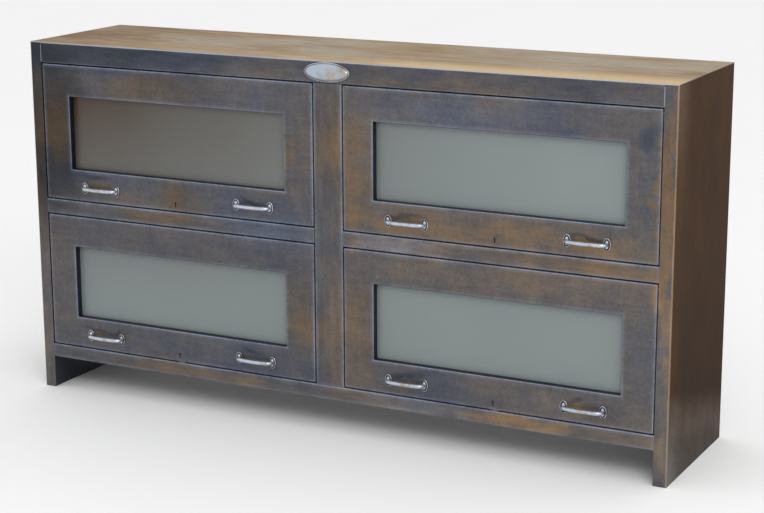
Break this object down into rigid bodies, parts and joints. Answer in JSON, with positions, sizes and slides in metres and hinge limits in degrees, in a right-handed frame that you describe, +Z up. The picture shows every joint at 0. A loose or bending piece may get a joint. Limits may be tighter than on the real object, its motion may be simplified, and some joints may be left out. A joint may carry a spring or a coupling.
{
  "type": "sideboard buffet",
  "caption": "Low sheet-steel sideboard on slab sides, with glazed lift-up doors in a two by two grid, each with two pulls, a lock and a sliding stay.",
  "frame": {"origin": "on the floor, under the middle of the box that holds the whole sideboard, handles included", "axes": "+X along the length, -Y out of the front, +Z up"},
  "size_m": [1.5, 0.3664, 0.796],
  "materials": {
    "carcass_steel": "lacquered sheet steel with a mottled blue-grey and rust-brown patina, satin",
    "top_sheet": "lacquered sheet steel, streaked along its length, satin",
    "door_steel": "lacquered sheet steel with a mottled blue-grey and rust-brown patina and pale worn edges, satin",
    "pane": "grey-green frosted glass",
    "worn_steel": "forged steel worn bright",
    "badge_plate": "pale rubbed metal",
    "lock_steel": "dark oiled steel",
    "plated_steel": "zinc-plated steel"
  },
  "bodies": {
    "cabinet": {"side_shell_left": "carcass_steel", "side_shell_right": "carcass_steel", "side_liner_left": "carcass_steel", "side_liner_right": "carcass_steel", "top_panel": "top_sheet", "bottom_rail": "carcass_steel", "floor_panel": "carcass_steel", "mid_rail_left": "carcass_steel", "mid_rail_right": "carcass_steel", "shelf_left": "carcass_steel", "shelf_right": "carcass_steel", "centre_post": "carcass_steel", "centre_divider": "carcass_steel", "back_panel": "carcass_steel", "badge": "badge_plate"},
    "upper_left_door": {"upper_left_door_pan": "door_steel", "upper_left_backing_frame": "door_steel", "upper_left_glass": "pane", "upper_left_lock_case": "lock_steel", "upper_left_handle_left": "worn_steel", "upper_left_handle_right": "worn_steel", "upper_left_pin_left": "plated_steel", "upper_left_pin_right": "plated_steel"},
    "upper_left_rod": {"upper_left_stay_rod": "plated_steel"},
    "upper_left_guide": {"upper_left_stay_guide": "plated_steel"},
    "upper_left_bolt": {"upper_left_lock_bolt": "lock_steel"},
    "upper_right_door": {"upper_right_door_pan": "door_steel", "upper_right_backing_frame": "door_steel", "upper_right_glass": "pane", "upper_right_lock_case": "lock_steel", "upper_right_handle_left": "worn_steel", "upper_right_handle_right": "worn_steel", "upper_right_pin_left": "plated_steel", "upper_right_pin_right": "plated_steel"},
    "upper_right_rod": {"upper_right_stay_rod": "plated_steel"},
    "upper_right_guide": {"upper_right_stay_guide": "plated_steel"},
    "upper_right_bolt": {"upper_right_lock_bolt": "lock_steel"},
    "lower_left_door": {"lower_left_door_pan": "door_steel", "lower_left_backing_frame": "door_steel", "lower_left_glass": "pane", "lower_left_lock_case": "lock_steel", "lower_left_handle_left": "worn_steel", "lower_left_handle_right": "worn_steel", "lower_left_pin_left": "plated_steel", "lower_left_pin_right": "plated_steel"},
    "lower_left_rod": {"lower_left_stay_rod": "plated_steel"},
    "lower_left_guide": {"lower_left_stay_guide": "plated_steel"},
    "lower_left_bolt": {"lower_left_lock_bolt": "lock_steel"},
    "lower_right_door": {"lower_right_door_pan": "door_steel", "lower_right_backing_frame": "door_steel", "lower_right_glass": "pane", "lower_right_lock_case": "lock_steel", "lower_right_handle_left": "worn_steel", "lower_right_handle_right": "worn_steel", "lower_right_pin_left": "plated_steel", "lower_right_pin_right": "plated_steel"},
    "lower_right_rod": {"lower_right_stay_rod": "plated_steel"},
    "lower_right_guide": {"lower_right_stay_guide": "plated_steel"},
    "lower_right_bolt": {"lower_right_lock_bolt": "lock_steel"}
  },
  "joints": [
    {"name": "upper_left_lift", "type": "hinge", "parent": "cabinet", "child": "upper_left_door", "pos_m": [-0.37775, -0.15575, 0.74], "axis": [-1, 0, 0], "range_deg": [0, 90]},
    {"name": "upper_left_rod_turn", "type": "hinge", "parent": "upper_left_door", "child": "upper_left_rod", "pos_m": [-0.71, -0.13045, 0.6], "axis": [-1, 0, 0], "range_deg": [-45, 0]},
    {"name": "upper_left_guide_turn", "type": "hinge", "parent": "cabinet", "child": "upper_left_guide", "pos_m": [-0.71, -0.05515, 0.6394], "axis": [-1, 0, 0], "range_deg": [0, 45]},
    {"name": "upper_left_bolt_throw", "type": "slide", "parent": "upper_left_door", "child": "upper_left_bolt", "axis": [0, 0, -1], "range_m": [0, 0.008]},
    {"name": "upper_right_lift", "type": "hinge", "parent": "cabinet", "child": "upper_right_door", "pos_m": [0.37775, -0.15575, 0.74], "axis": [-1, 0, 0], "range_deg": [0, 90]},
    {"name": "upper_right_rod_turn", "type": "hinge", "parent": "upper_right_door", "child": "upper_right_rod", "pos_m": [0.71, -0.13045, 0.6], "axis": [-1, 0, 0], "range_deg": [-45, 0]},
    {"name": "upper_right_guide_turn", "type": "hinge", "parent": "cabinet", "child": "upper_right_guide", "pos_m": [0.71, -0.05515, 0.6394], "axis": [-1, 0, 0], "range_deg": [0, 45]},
    {"name": "upper_right_bolt_throw", "type": "slide", "parent": "upper_right_door", "child": "upper_right_bolt", "axis": [0, 0, -1], "range_m": [0, 0.008]},
    {"name": "lower_left_lift", "type": "hinge", "parent": "cabinet", "child": "lower_left_door", "pos_m": [-0.37775, -0.15575, 0.4], "axis": [-1, 0, 0], "range_deg": [0, 90]},
    {"name": "lower_left_rod_turn", "type": "hinge", "parent": "lower_left_door", "child": "lower_left_rod", "pos_m": [-0.71, -0.13045, 0.26], "axis": [-1, 0, 0], "range_deg": [-45, 0]},
    {"name": "lower_left_guide_turn", "type": "hinge", "parent": "cabinet", "child": "lower_left_guide", "pos_m": [-0.71, -0.05515, 0.2994], "axis": [-1, 0, 0], "range_deg": [0, 45]},
    {"name": "lower_left_bolt_throw", "type": "slide", "parent": "lower_left_door", "child": "lower_left_bolt", "axis": [0, 0, -1], "range_m": [0, 0.008]},
    {"name": "lower_right_lift", "type": "hinge", "parent": "cabinet", "child": "lower_right_door", "pos_m": [0.37775, -0.15575, 0.4], "axis": [-1, 0, 0], "range_deg": [0, 90]},
    {"name": "lower_right_rod_turn", "type": "hinge", "parent": "lower_right_door", "child": "lower_right_rod", "pos_m": [0.71, -0.13045, 0.26], "axis": [-1, 0, 0], "range_deg": [-45, 0]},
    {"name": "lower_right_guide_turn", "type": "hinge", "parent": "cabinet", "child": "lower_right_guide", "pos_m": [0.71, -0.05515, 0.2994], "axis": [-1, 0, 0], "range_deg": [0, 45]},
    {"name": "lower_right_bolt_throw", "type": "slide", "parent": "lower_right_door", "child": "lower_right_bolt", "axis": [0, 0, -1], "range_m": [0, 0.008]}
  ],
  "couplings": [
    {"joint": "upper_left_rod_turn", "follows": "upper_left_lift", "ratio": -0.5},
    {"joint": "upper_left_guide_turn", "follows": "upper_left_lift", "ratio": 0.5},
    {"joint": "upper_right_rod_turn", "follows": "upper_right_lift", "ratio": -0.5},
    {"joint": "upper_right_guide_turn", "follows": "upper_right_lift", "ratio": 0.5},
    {"joint": "lower_left_rod_turn", "follows": "lower_left_lift", "ratio": -0.5},
    {"joint": "lower_left_guide_turn", "follows": "lower_left_lift", "ratio": 0.5},
    {"joint": "lower_right_rod_turn", "follows": "lower_right_lift", "ratio": -0.5},
    {"joint": "lower_right_guide_turn", "follows": "lower_right_lift", "ratio": 0.5}
  ]
}
